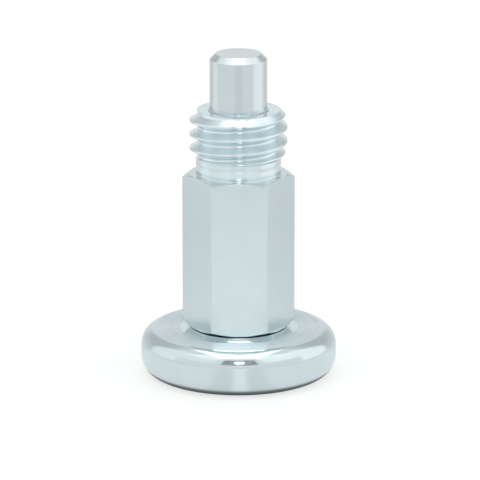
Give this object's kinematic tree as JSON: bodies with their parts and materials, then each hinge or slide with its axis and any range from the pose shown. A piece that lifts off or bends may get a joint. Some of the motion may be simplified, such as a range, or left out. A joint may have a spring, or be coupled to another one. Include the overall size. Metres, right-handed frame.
{
  "type": "indexing plunger",
  "caption": "Spring-loaded indexing plunger: a round locating pin in a hexagon sleeve with a threaded nose, pulled back by a disc knob.",
  "frame": {"origin": "centre of the knob's flat underside, on the axis", "axes": "+Z along the axis from the knob to the pin's tip, +X through a corner of the hexagon, -Y square to one of its flats"},
  "size_m": [0.024, 0.024, 0.0402],
  "materials": {
    "body_zinc": "bright zinc plate",
    "bush_steel": "turned, plain",
    "spring_wire": "drawn wire",
    "pin_steel": "ground",
    "knob_zinc": "bright zinc plate"
  },
  "bodies": {
    "body": {"body": "body_zinc", "end_bush": "bush_steel"},
    "spring": {"spring": "spring_wire"},
    "plunger": {"locating_pin": "pin_steel", "knob": "knob_zinc"}
  },
  "joints": [
    {"name": "pull", "type": "slide", "parent": "body", "child": "spring", "axis": [0, 0, -1], "range_m": [0, 0.0073], "stiffness_N_per_m": 1590, "springref_m": -0.005, "deforming": ["spring"]},
    {"name": "knob_turn", "type": "hinge", "parent": "spring", "child": "plunger", "pos_m": [0, 0, 0.003], "axis": [0, 0, 1], "continuous": true}
  ]
}
